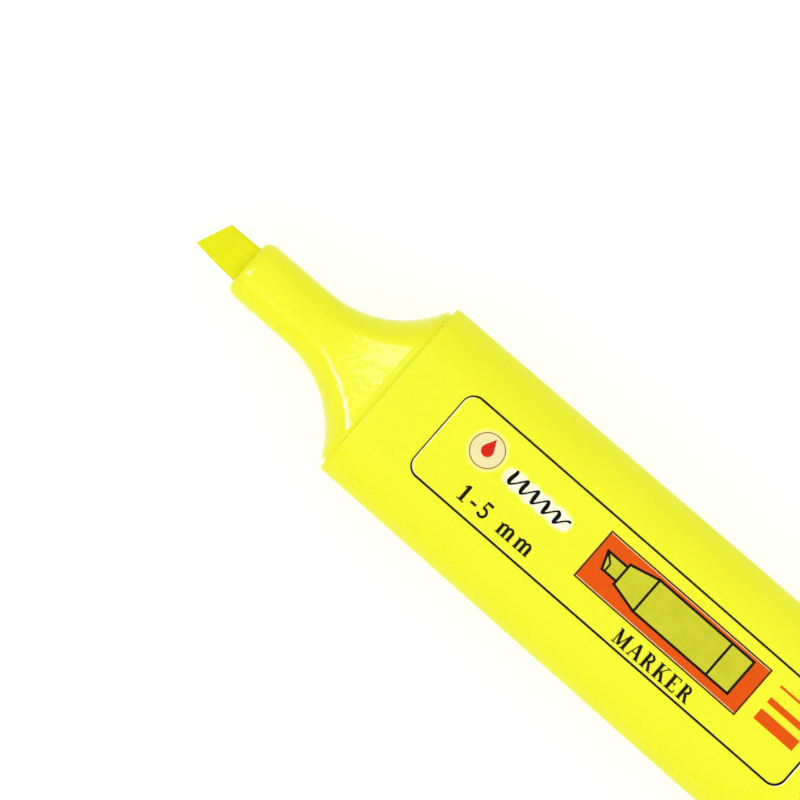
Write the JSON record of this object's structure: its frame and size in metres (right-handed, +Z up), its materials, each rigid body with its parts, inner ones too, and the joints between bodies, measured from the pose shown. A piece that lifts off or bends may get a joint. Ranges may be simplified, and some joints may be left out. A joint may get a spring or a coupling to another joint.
{
  "type": "highlighter",
  "caption": "Flat highlighter pen with a slanted chisel nib, flared front section, wide barrel with a printed face, and a clip cap that pulls off the tail.",
  "frame": {"origin": "bottom centre of the whole pen as it lies on the barrel's back, cap on the tail", "axes": "+X from the writing tip to the tail, +Y towards the nib's short corner, +Z up through the printed face"},
  "size_m": [0.1376, 0.0262, 0.0173],
  "materials": {
    "barrel_plastic": "satin fluorescent yellow moulding with a printed face",
    "section_plastic": "glossy fluorescent yellow moulding",
    "nib_fibre": "pressed fibre soaked with fluorescent yellow ink",
    "reservoir_fibre": "soft fibre core soaked with ink",
    "wrap_film": "thin clear film round the core",
    "plug_plastic": "satin fluorescent yellow moulding",
    "cap_plastic": "glossy fluorescent yellow moulding, clip in one with the cap",
    "liner_plastic": "soft glossy moulding inside the cap"
  },
  "bodies": {
    "pen_body": {"barrel": "barrel_plastic", "front_section": "section_plastic", "nib": "nib_fibre", "ink_reservoir": "reservoir_fibre", "reservoir_wrap": "wrap_film", "tail_plug": "plug_plastic"},
    "cap_body": {"cap": "cap_plastic", "cap_liner": "liner_plastic"},
    "clip_arm": {"clip": "cap_plastic"}
  },
  "joints": [
    {"name": "cap_pull", "type": "slide", "parent": "pen_body", "child": "cap_body", "axis": [1, 0, 0], "range_m": [0, 0.03]},
    {"name": "clip_flex", "type": "hinge", "parent": "cap_body", "child": "clip_arm", "pos_m": [0.0642, 0, 0.0165], "axis": [0, 1, 0], "range_deg": [0, 6], "stiffness_Nm_per_rad": 0.5}
  ]
}
